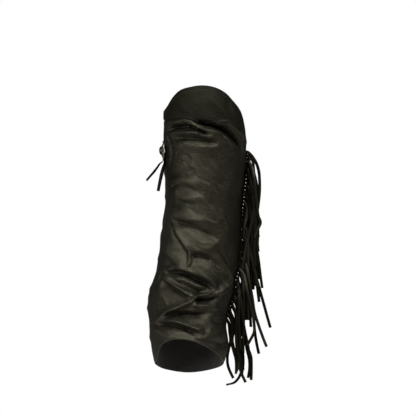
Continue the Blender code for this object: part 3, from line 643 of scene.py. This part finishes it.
def antique_nickel():
    """Cast nickel silver, tumbled and antiqued: bright on the high places, with dark patina left in the low
    ones. The attribute relief is 1 on the high places and 0 in the low ones."""
    made, tree, shader, place = start_material("cast_antiqued_nickel_silver")
    relief_mark = add_node(tree, "ShaderNodeAttribute", {"attribute_name": "relief"})
    spots = add_node(tree, "ShaderNodeTexNoise", links={"Vector": place, "Scale": 600.0, "Detail": 4.0})
    mixed = add_node(tree, "ShaderNodeMath", {"operation": "MULTIPLY_ADD"},
                     {0: spots.outputs[0], 1: 0.5, 2: relief_mark.outputs["Fac"]})
    shade = add_node(tree, "ShaderNodeValToRGB", links={"Fac": mixed.outputs[0]})
    for stop, at, code in zip(shade.color_ramp.elements, (0.45, 0.85), ("#37322a", "#857c69")):
        stop.position = at
        stop.color = linear(code)
    rough = add_node(tree, "ShaderNodeMapRange",
                     links={"Value": mixed.outputs[0], "From Min": 0.4, "From Max": 1.0,
                            "To Min": 0.6, "To Max": 0.36})
    bump = add_node(tree, "ShaderNodeBump",
                    links={"Strength": 0.15, "Distance": 0.0001, "Height": spots.outputs[0]})
    feed(shader, {"Base Color": shade.outputs[0], "Metallic": 1.0, "Roughness": rough.outputs[0],
                  "Normal": bump.outputs[0]})
    return made


# The form of the leather


def unit(vectors):
    return vectors / np.linalg.norm(vectors, axis=-1, keepdims=True)


def ease(part):
    part = np.clip(part, 0, 1)
    return part * part * (3 - 2 * part)


def read_curve(rows, at):
    """Values of the smooth curve through rows of (key, value)."""
    keys, values = np.array(sorted(rows), float).T
    slopes = np.gradient(values, keys)
    spot = np.clip(np.searchsorted(keys, at) - 1, 0, len(keys) - 2)
    step = keys[spot + 1] - keys[spot]
    part = np.clip((at - keys[spot]) / step, 0.0, 1.0)
    start = (1 + 2 * part) * (1 - part) ** 2 * values[spot] + part * (1 - part) ** 2 * step * slopes[spot]
    end = part**2 * (3 - 2 * part) * values[spot + 1] - part**2 * (1 - part) * step * slopes[spot + 1]
    return start + end


def read_round(rows, angle):
    """The same for a closed line round the tube, whose rows cover one turn."""
    return read_curve([(key + turn, value) for turn in (-360, 0, 360) for key, value in rows], angle)


def read_line(at, lengths, points):
    """Points of a straight-sided line, from how far along it they lie."""
    return np.stack([np.interp(at, lengths, column) for column in points.T], axis=-1)


def lengths_along(points):
    """How far along a line each of its own points lies."""
    return np.concatenate([[0], np.cumsum(np.linalg.norm(np.diff(points, axis=0), axis=1))])


def section(height):
    """Left, right, front and back of the tube at a height."""
    return [read_curve([(row[0], row[side]) for row in SECTIONS], height) for side in (1, 2, 3, 4)]


def angle_at(x, height, behind):
    """The angle on the tube of a place that is seen from the front."""
    left, right, _, _ = section(height)
    share = max(-WIDEST_SHARE, min(WIDEST_SHARE, (2 * x - left - right) / (right - left)))
    turn = math.degrees(math.asin(share))
    return 180 - turn if behind else turn


def fold_path(row, angle_of):
    """A fold's bent line as points of (length round the tube, height), trailing on a little past its ends.
    angle_of turns the first number of each of its three places, and the height, into an angle."""
    start, middle, end = [np.array([math.radians(angle_of(first, height)) * FOLD_RADIUS, height])
                          for first, height in zip(row[0:6:2], row[1:6:2])]
    bend = 2 * middle - (start + end) / 2
    along = np.linspace(-FOLD_TRAIL, 1 + FOLD_TRAIL, PATH_STEPS + 1)[:, None]
    return (1 - along) ** 2 * start + 2 * along * (1 - along) * bend + along**2 * end


def one_fold(spots, path, rise, left_reach, right_reach, crest):
    """How far one fold moves each spot: a crease with flanks that fall away from its crest."""
    starts = path[:-1]
    runs = np.diff(path, axis=0)
    away = spots[:, None, :] - starts
    part = np.clip((away * runs).sum(-1) / (runs**2).sum(-1), 0, 1)
    gaps = away - part[..., None] * runs
    far = (gaps**2).sum(-1)
    nearest = np.argmin(far, axis=1)
    picked = np.arange(len(spots))
    gap = gaps[picked, nearest]
    run = runs[nearest]
    on_left = run[:, 0] * gap[:, 1] - run[:, 1] * gap[:, 0] > 0
    reach = np.hypot(np.where(on_left, left_reach, right_reach), LEAST_REACH)
    along = (nearest + part[picked, nearest]) / len(runs)
    ends = ease(END_FULLNESS * (1 - np.abs(2 * along - 1) ** END_TAPER))
    distance = np.sqrt(far[picked, nearest])
    soft = np.exp(-((distance / reach) ** 2))
    crisp = np.exp(CRISP_FALL * (crest - np.hypot(distance, crest)) / reach
                   - (distance / (CRISP_REACH * reach)) ** 2)
    share = EVEN_CREST / (EVEN_CREST + crest)
    return rise * ends * ((1 - share) * soft + share * crisp)


def relief(angle, height):
    """How far the folds move each place out from the plain tube. The hide is uneven, so their lines waver."""
    moved = np.zeros(angle.size)
    turn = (angle.ravel() + 180) % 360 - 180
    level = height.ravel()
    for folds, behind in ((FRONT_FOLDS + SMALL_FOLDS, False), (BACK_FOLDS, True)):
        length = np.radians(turn % 360 if behind else turn) * FOLD_RADIUS
        wave = 1.2 * np.sin(level / 11 + 1.3 * np.sin(length / 23)) + 0.6 * np.sin(length / 6.1 + level / 9.3)
        rise = 1.0 * np.sin(length / 13 + 0.8) + 0.6 * np.sin((length + level) / 5.7)
        spots = np.stack([length + wave, level + rise], axis=-1)
        for row in folds:
            path = fold_path(row, lambda x, z, behind=behind: angle_at(x, z, behind))
            moved += (BACK_DEPTH if behind else FOLD_DEPTH) * one_fold(spots, path, *row[6:])
        for row in SIDE_FOLDS:
            if (row[2] > BACK_FROM) == behind:
                moved += one_fold(spots, fold_path(row, lambda turned, z: turned), *row[6:])
    round_length = np.radians(turn) * FOLD_RADIUS
    fade = np.clip((SLACK_END - np.abs(turn)) / SLACK_FADE, 0, 1)
    for wide, tall, start, lift in SLACK:
        phase = round_length / wide + level / tall + start
        moved += fade * lift * np.sin(phase + 0.9 * np.sin(round_length / 17 - level / 23))
    return moved.reshape(angle.shape)


def surface(angle, height):
    """Points of the leather's outer face, and the level way out at each."""
    left, right, front, back = section(height)
    turn = np.radians(angle)
    x = (left + right) / 2 + (right - left) / 2 * np.sin(turn)
    y = (front + back) / 2 - (back - front) / 2 * np.cos(turn)
    flat = np.zeros(turn.shape)
    out = unit(np.stack([(back - front) * np.sin(turn), (left - right) * np.cos(turn), flat], -1))
    return np.stack([x, y, height], axis=-1) + relief(angle, height)[..., None] * out, out


def inner_seam(height):
    return read_curve(INNER_SEAM, height)


def outer_seam(height):
    return read_curve(OUTER_SEAM, height)


def yoke_seam(angle):
    return read_curve(YOKE_SEAM, angle)


def top_edge(angle):
    return read_round(TOP_EDGE, angle)


def hem(angle):
    return read_round(HEM, angle)


def under_lap(past):
    """How far a panel drops to run under its neighbour, from how far past the neighbour's edge a place is."""
    return LAP_DROP * ease(1 + past / LAP_SLOPE)


def grid_lines(count, length):
    """Where the lines of a panel's grid lie, 0 to 1, with more by each edge, where the cut is rolled over."""
    edge = np.array([0, 0.5, ROLL_WIDTH]) / length
    inset = 2 * ROLL_WIDTH / length
    return np.concatenate([edge, np.linspace(inset, 1 - inset, count - 5), 1 - edge[::-1]])


def panel_places(across, down, top_line, bottom_line, first_seam, last_seam):
    """Angles and heights of a panel's grid."""
    height = np.zeros((len(down), len(across)))
    for _ in range(8):
        first = first_seam(height[:, :1])
        last = last_seam(height[:, -1:])
        angle = first + across * (last - first)
        top = top_line(angle[:1])
        height = top + (bottom_line(angle[-1:]) - top) * down[:, None]
    return angle, height


def add_leather(name, counts, spans, lines, sink, coats):
    """A panel of leather: a flat grid is given its thickness, then each vertex is laid in its place."""
    across, down = grid_lines(counts[0], spans[0]), grid_lines(counts[1], spans[1])
    deselect()
    bpy.ops.mesh.primitive_grid_add(x_subdivisions=counts[0], y_subdivisions=counts[1], size=2)
    panel = bpy.context.object
    panel.name = name
    edit_whole(bpy.ops.mesh.extrude_region_move, TRANSFORM_OT_translate={"value": (0, 0, -1)})
    mesh = panel.data
    for coat in coats:
        mesh.materials.append(coat)
    for face in mesh.polygons:
        face.material_index = 1 if face.center.z < -0.9 else 0
    flat = vertex_places(mesh)
    column = np.rint((flat[:, 0] + 1) / 2 * counts[0]).astype(int)
    row = np.rint((1 - flat[:, 1]) / 2 * counts[1]).astype(int)
    angle, height = panel_places(across, down, *lines)
    outer, out = surface(angle, height)
    outer = outer - sink(angle, height)[..., None] * out
    rim = np.minimum.outer(np.minimum(down, 1 - down) * spans[1], np.minimum(across, 1 - across) * spans[0])
    roll = ROLL_DEPTH * np.clip(1 - rim / ROLL_WIDTH, 0, 1) ** 2
    slope = np.gradient(outer, axis=0), np.gradient(outer, axis=1)
    lean = np.abs((unit(np.cross(slope[1], slope[0])) * out).sum(-1))
    thick = COWHIDE / np.maximum(lean, STEEPEST_LEAN)
    inner = outer - (thick - roll)[..., None] * out
    outer = outer - roll[..., None] * out
    place = np.where(flat[:, 2:] > -0.5, outer[row, column], inner[row, column]) * MM
    mesh.vertices.foreach_set("co", place.ravel())
    mesh.update()
    finish_piece(panel, 60)
    return panel


def add_panels(grain_side, yoke_side, flesh_side):
    coats = (grain_side, flesh_side)
    lap = math.degrees(LAP / FOLD_RADIUS)

    def beside(angle, height):
        """How far past either side seam a place on the back panel is, in millimetres."""
        past = np.maximum(outer_seam(height) - angle, angle - inner_seam(height) - 360)
        return np.radians(past) * FOLD_RADIUS

    front = add_leather(
        "front_leather", *FRONT_GRID,
        (lambda angle: yoke_seam(angle) + LAP + YOKE_LAP_MORE, hem, inner_seam, outer_seam),
        lambda angle, height: under_lap(height - yoke_seam(angle)), coats)
    yoke = add_leather(
        "yoke_leather", *YOKE_GRID, (top_edge, yoke_seam, inner_seam, outer_seam),
        lambda angle, height: np.zeros(angle.shape), (yoke_side, flesh_side))
    back = add_leather(
        "back_leather", *BACK_GRID,
        (top_edge, hem, lambda height: outer_seam(height) - lap,
         lambda height: inner_seam(height) + 360 + lap),
        lambda angle, height: under_lap(beside(angle, height)), coats)
    return front, yoke, back


# The stitching


def stitch_model(thread):
    """One stitch, a short bar of thread with its ends drawn down into the leather."""
    deselect()
    bpy.ops.mesh.primitive_cylinder_add(vertices=6, radius=THREAD_RADIUS, depth=STITCH_PITCH - STITCH_GAP,
                                        rotation=(0, math.pi / 2, 0))
    stitch = bpy.context.object
    bpy.ops.object.transform_apply()
    edit_whole(bpy.ops.mesh.bisect, plane_co=(0, 0, 0), plane_no=(1, 0, 0))
    for vertex in stitch.data.vertices:
        vertex.co.z -= STITCH_BOW * abs(vertex.co.x) ** 2
    stitch.data.materials.append(thread)
    return stitch


def stitch_row(model, angle, height):
    """Copies of the stitch along a line of places on the leather."""
    points, out = surface(angle, height)
    points = points + STITCH_LIFT * out
    lengths = lengths_along(points)
    spots = np.arange(STITCH_PITCH / 2, lengths[-1], STITCH_PITCH)
    middles = read_line(spots, lengths, points)
    along = unit(read_line(spots + 0.5, lengths, points) - middles + 1e-9)
    outs = unit(read_line(spots, lengths, out))
    outs = unit(outs - (outs * along).sum(-1, keepdims=True) * along)
    shape = vertex_places(model.data)
    return [copy_laid(model, middle + shape[:, :1] * ahead + shape[:, 1:2] * side + shape[:, 2:] * up)
            for middle, ahead, side, up in zip(middles, along, np.cross(outs, along), outs)]


def add_stitching(thread):
    model = stitch_model(thread)
    around = np.linspace(*YOKE_STITCHES, 400)
    whole = np.linspace(*EDGE_STITCHES, 600)
    inner_down = np.linspace(*INNER_STITCHES, 500)
    outer_down = np.linspace(*OUTER_STITCHES, 500)
    away = math.degrees(SEAM_MARGIN / FOLD_RADIUS)
    rows = (
        (around, yoke_seam(around) + SEAM_MARGIN),
        (whole, top_edge(whole) - EDGE_MARGIN),
        (whole, hem(whole) + EDGE_MARGIN),
        (inner_seam(inner_down) + away, inner_down),
        (outer_seam(outer_down) - away, outer_down),
    )
    made = [stitch for angle, height in rows for stitch in stitch_row(model, angle, height)]
    bpy.data.objects.remove(model)
    thread_piece = join_pieces("topstitching", made)
    bpy.ops.object.shade_smooth_by_angle(angle=math.radians(60))
    return thread_piece


# The fringe and the thong


def strap_model(width, thick, cuts, coat):
    """A flat strap one unit long up Z, with its long edges worn round and cuts enough across it to bend."""
    deselect()
    bpy.ops.mesh.primitive_cube_add(size=1, location=(0, 0, 0.5))
    strap = bpy.context.object
    bpy.ops.transform.resize(value=(width, thick, 1))
    bpy.ops.object.transform_apply()
    mesh = strap.data

    def select_long_edges():
        bpy.ops.mesh.select_all(action="DESELECT")
        bpy.ops.object.mode_set(mode="OBJECT")
        for edge in mesh.edges:
            foot, head = (mesh.vertices[k].co for k in edge.vertices)
            edge.select = abs(foot.z - head.z) > 0.5
        bpy.ops.object.mode_set(mode="EDIT")

    bpy.ops.object.mode_set(mode="EDIT")
    select_long_edges()
    bpy.ops.mesh.select_mode(type="EDGE")
    bpy.ops.mesh.bevel(offset=0.3 * thick, segments=1)
    select_long_edges()
    bpy.ops.mesh.subdivide(number_cuts=cuts)
    bpy.ops.object.mode_set(mode="OBJECT")
    mesh.materials.append(coat)
    return strap


def smooth_route(route, count):
    """Points along the smooth curve through a route's own points, evenly spaced."""
    route = np.array(route, float)
    lengths = lengths_along(route)
    at = np.linspace(0, lengths[-1], count)
    return np.stack([read_curve(list(zip(lengths, column)), at) for column in route.T], axis=-1)


def lay_strap(model, name, route, across, taper=0.0):
    """A copy of the strap laid along a route. across gives the way of its width from the share of its
    length."""
    shape = vertex_places(model.data)
    fine = smooth_route(route, ROUTE_POINTS)
    lengths = lengths_along(fine)
    share = shape[:, 2]
    at = share * lengths[-1]
    along = unit(read_line(at, lengths, unit(np.gradient(fine, axis=0))))
    side = across(share)
    side = unit(side - (side * along).sum(-1, keepdims=True) * along)
    width = shape[:, :1] * (1 - taper * share[:, None])
    through = shape[:, 1:2] * np.cross(along, side)
    strap = copy_laid(model, read_line(at, lengths, fine) + width * side + through)
    strap.name = name
    finish_piece(strap, 50)
    return strap


def strand_route(number, root, out):
    """A strand's route from its root: its own, or else one that falls in among its neighbours."""
    depth = -IN_FRONT[number] if number in IN_FRONT else STRAND_DEPTH * math.sin(2.4 * number + 0.6)
    if number in STRAND_ROUTES:
        row = STRAND_ROUTES[number]
        points = list(zip(row[::2], row[1::2]))
    else:
        lean = 7 + 9 * math.sin(1.7 * number)
        bow = 3.0 * math.sin(2.9 * number + 1)
        length = 142 + 12 * math.sin(3.1 * number) - 0.35 * number
        points = [(root[0] + 7.0 * ease(0.3 + 5 * fall) + lean * fall + bow * fall * math.sin(5 * fall),
                   root[2] - 2 - length * fall) for fall in STRAND_FALLS]
    start = [tuple(root - 1.5 * out), tuple(root + 2.0 * out + [0, 0, -0.4])]
    return start + [(x, root[1] + (x - root[0]) * out[1] * 0.3 + depth * ease((root[2] - z) / 45)
                     + 3 * math.sin(z / 37), z) for x, z in points]


def strand_way(number, ahead, out):
    """The way of a strand's width from the share of its length: flat on the strip, then turned and
    twisted."""
    loose = 0.25 if number in FLAT_ON else 1.0
    turned = math.radians(FLAT_TURN + loose * STRAND_TURN * math.sin(1.3 * number + 0.5))
    twist = math.radians(loose * STRAND_TWIST * math.sin(2.1 * number))

    def across(share):
        turn = (turned + twist * ease((share - 0.35) / 0.65))[:, None]
        rooted = ease(share / 0.11)[:, None]
        return (1 - rooted) * np.array([0.0, 0.0, 1.0]) + rooted * (np.cos(turn) * ahead + np.sin(turn) * out)

    return across


def strip_root(heights):
    """Points of the outer seam, and the way that the strip stands out of it at each."""
    seam, out = surface(outer_seam(heights), heights)
    lean = math.radians(STRIP_LEAN)
    return seam, math.cos(lean) * out - math.sin(lean) * np.cross(out, [0, 0, 1])


def add_fringe(coat):
    """The strip caught in the outer seam, and the strands cut from it."""
    pitch = (ROOT_TOP - ROOT_BOTTOM) / (STRANDS - 1)
    seam, out = strip_root(ROOT_TOP - pitch * np.arange(STRANDS))
    ahead = np.cross(out, [0, 0, 1])
    heights = np.linspace(ROOT_TOP + pitch / 2, ROOT_BOTTOM - pitch / 2, STRIP_POINTS)
    strip_seam, strip_out = strip_root(heights)
    model = strap_model(STRIP_WIDTH + STRIP_SEWN, THIN_COWHIDE, STRIP_POINTS - 1, coat)
    route = strip_seam + (STRIP_WIDTH - STRIP_SEWN) / 2 * strip_out
    strip_shares = np.linspace(0, 1, STRIP_POINTS)
    pieces = [lay_strap(model, "strip", route, lambda share: read_line(share, strip_shares, strip_out))]
    bpy.data.objects.remove(model)
    model = strap_model(pitch * STRAND_SHARE, THIN_COWHIDE, STRAND_CUTS, coat)
    for number in range(STRANDS):
        route = strand_route(number, seam[number] + STRIP_WIDTH * out[number], out[number])
        way = strand_way(number, ahead[number], out[number])
        strand = lay_strap(model, f"strand_{number}", route, way, STRAND_TAPER)
        # Painted sheen: the strands that cross in front shine most, as lit; the others differ at random, as
        # worn
        gloss = 0.7 if number in IN_FRONT else 0.2 + 0.2 * math.sin(3.7 * number)
        finish = strand.data.attributes.new("finish", "FLOAT", "POINT")
        finish.data.foreach_set("value", [gloss] * len(strand.data.vertices))
        pieces.append(strand)
    bpy.data.objects.remove(model)
    return join_pieces("fringe_strands", pieces)


def thong_way(first, last):
    """The way of a thong's width, which turns from one angle to another along it."""
    def across(share):
        turn = np.radians(first + (last - first) * ease(share * 1.3))[:, None]
        return np.cos(turn) * np.array([0.0, 1.0, 0.0]) + np.sin(turn) * np.array([1.0, 0.0, 0.0])
    return across


def add_thongs(coat):
    """The thong's two free ends and the loop between them, as named pieces."""
    model = strap_model(THONG_WIDTH, THONG_THICK, THONG_CUTS, coat)
    back = lay_strap(model, "thong_end_back", THONG_BACK_ROUTE, thong_way(12, 88))
    front = lay_strap(model, "thong_end_front", THONG_FRONT_ROUTE, thong_way(24, 40))
    bpy.data.objects.remove(model)
    model = strap_model(THONG_WIDTH, LOOP_THICK, THONG_CUTS, coat)
    loop_route = [(CONCHO_BASE - rise, CONCHO_SPOT[0], CONCHO_SPOT[1] + up) for rise, up in LOOP_ROUTE]
    loop = lay_strap(model, "thong_over_concho", loop_route, thong_way(0, 0))
    bpy.data.objects.remove(model)
    return loop, back, front


# The concho


def add_rings(concho, rings, up):
    """Insets the disc's face or back from ring to ring, and closes it with a point."""
    bpy.ops.object.mode_set(mode="EDIT")
    bpy.ops.mesh.select_mode(type="FACE")
    bpy.ops.mesh.select_all(action="DESELECT")
    bpy.ops.object.mode_set(mode="OBJECT")
    for face in concho.data.polygons:
        face.select = len(face.vertices) > 4 and (face.normal.z > 0.5) == up
    bpy.ops.object.mode_set(mode="EDIT")
    for (wide, low), (narrow, high) in zip(rings, rings[1:]):
        bpy.ops.mesh.inset(thickness=wide - narrow, depth=(high - low) * (1 if up else -1))
    bpy.ops.mesh.poke()
    bpy.ops.object.mode_set(mode="OBJECT")


def chase_face(concho):
    """Works the rope edge and the petals into the face, and marks what is high and what is low."""
    facing = [vertex.normal.z > 0.1 for vertex in concho.data.vertices]
    marks = concho.data.attributes.new("relief", "FLOAT", "POINT")
    petal_start, petal_end = PETAL_BAND
    rope_start, rope_end = ROPE_BAND
    for vertex, up in zip(concho.data.vertices, facing):
        radius = math.hypot(vertex.co.x, vertex.co.y)
        turn = math.atan2(vertex.co.y, vertex.co.x)
        high = 0.5
        if up and rope_start < radius < rope_end:
            high = 0.5 + 0.5 * math.sin(ROPE_TURNS * turn + 1.5 * radius)
            vertex.co.z += ROPE_DEPTH * (high - 0.5)
        elif up and petal_start < radius < petal_end:
            bulge = math.sin(math.pi * (radius - petal_start) / (petal_end - petal_start))
            high = abs(math.cos(PETALS / 2 * turn)) ** 0.7 * bulge
            vertex.co.z += PETAL_DEPTH * (high - 0.4)
        elif up and petal_end <= radius <= rope_start:
            high = 0.1
        marks.data[vertex.index].value = high


def cut_slots(concho):
    for side in (1, -1):
        deselect()
        bpy.ops.mesh.primitive_cube_add(size=1, location=(side * SLOT_OFFSET, 0, 3))
        cutter = bpy.context.object
        cutter.scale = SLOT_SIZE
        bpy.ops.object.transform_apply()
        pick(concho)
        bpy.ops.object.modifier_add(type="BOOLEAN")
        cut = concho.modifiers[-1]
        cut.operation = "DIFFERENCE"
        cut.object = cutter
        bpy.ops.object.modifier_apply(modifier=cut.name)
        bpy.data.objects.remove(cutter)


def add_concho(coat):
    """A cast disc with a rope edge and a ring of petals, hollow behind, with two slots for the thong."""
    radius, thick = CONCHO_FACE[0]
    deselect()
    bpy.ops.mesh.primitive_cylinder_add(vertices=CONCHO_SIDES, radius=radius, depth=thick,
                                        location=(0, 0, thick / 2))
    concho = bpy.context.object
    concho.name = "concho_casting"
    bpy.ops.object.transform_apply()
    add_rings(concho, CONCHO_FACE, True)
    add_rings(concho, ((radius, 0), *CONCHO_HOLLOW), False)
    chase_face(concho)
    cut_slots(concho)
    concho.data.materials.append(coat)
    concho.scale = (MM, MM, MM)
    concho.rotation_euler = (0, -math.pi / 2, 0)
    concho.location = (CONCHO_BASE * MM, CONCHO_SPOT[0] * MM, CONCHO_SPOT[1] * MM)
    bpy.ops.object.transform_apply()
    finish_piece(concho, 35)
    return concho


set_camera()
lace = latigo_thong()
loop, thong_back, thong_front = add_thongs(lace)
set_light()
add_floor()
front_leather, yoke_leather, back_leather = add_panels(
    black_cowhide("drum_dyed_black_cowhide", 0.34, 0.5),
    black_cowhide("matt_drum_dyed_black_cowhide", 0.46, 0.16),
    black_suede())
topstitching = add_stitching(nylon_thread())
fringe = add_fringe(fringe_cowhide())
concho = add_concho(antique_nickel())

replaced = (
    # piece, node, slot
    (front_leather, "front_panel", "black_leather"),
    (yoke_leather, "yoke", "black_leather"),
    (back_leather, "back_panel", "black_leather"),
    (fringe, "fringe", "black_fringe_leather"),
    (concho, "concho", "antique_nickel"),
    (loop, "thong_loop", "black_thong_leather"),
    (thong_back, "thong_back", "black_thong_leather"),
    (thong_front, "thong_front", "black_thong_leather"),
)
for piece, node, finish in replaced:
    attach(piece, "root")
    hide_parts(node)
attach(topstitching, "root")
